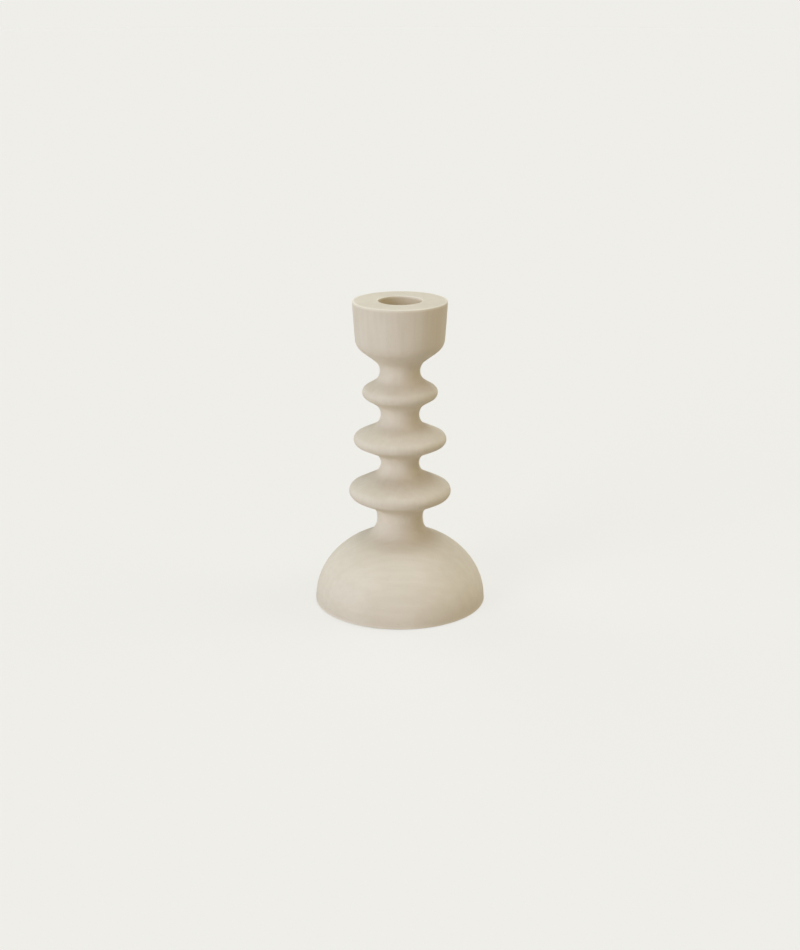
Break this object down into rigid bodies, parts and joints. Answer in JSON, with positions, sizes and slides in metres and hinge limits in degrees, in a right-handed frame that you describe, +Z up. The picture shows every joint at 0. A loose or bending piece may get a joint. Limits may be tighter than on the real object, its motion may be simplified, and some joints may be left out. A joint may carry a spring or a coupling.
{
  "type": "wooden candlestick",
  "caption": "Painted turned-wood candlestick with a domed base, a stem of lens-shaped collars and a cup with a bored socket for a taper candle.",
  "frame": {"origin": "on the table under the middle of the base, on the axis of turning", "axes": "+Z up along the axis of turning, towards the candle; X and Y lie in the table and are interchangeable"},
  "size_m": [0.089, 0.089, 0.16],
  "materials": {
    "painted_wood": "matt chalk paint over fine-grained wood",
    "beech": "bare, machined",
    "steel": "zinc plated",
    "felt": "pressed wool felt"
  },
  "bodies": {
    "root": {"candle_cup": "painted_wood", "cup_dowel": "beech", "turned_stem": "painted_wood", "domed_base": "painted_wood", "base_screw": "steel", "screw_washer": "steel", "felt_pad": "felt"}
  },
  "joints": []
}
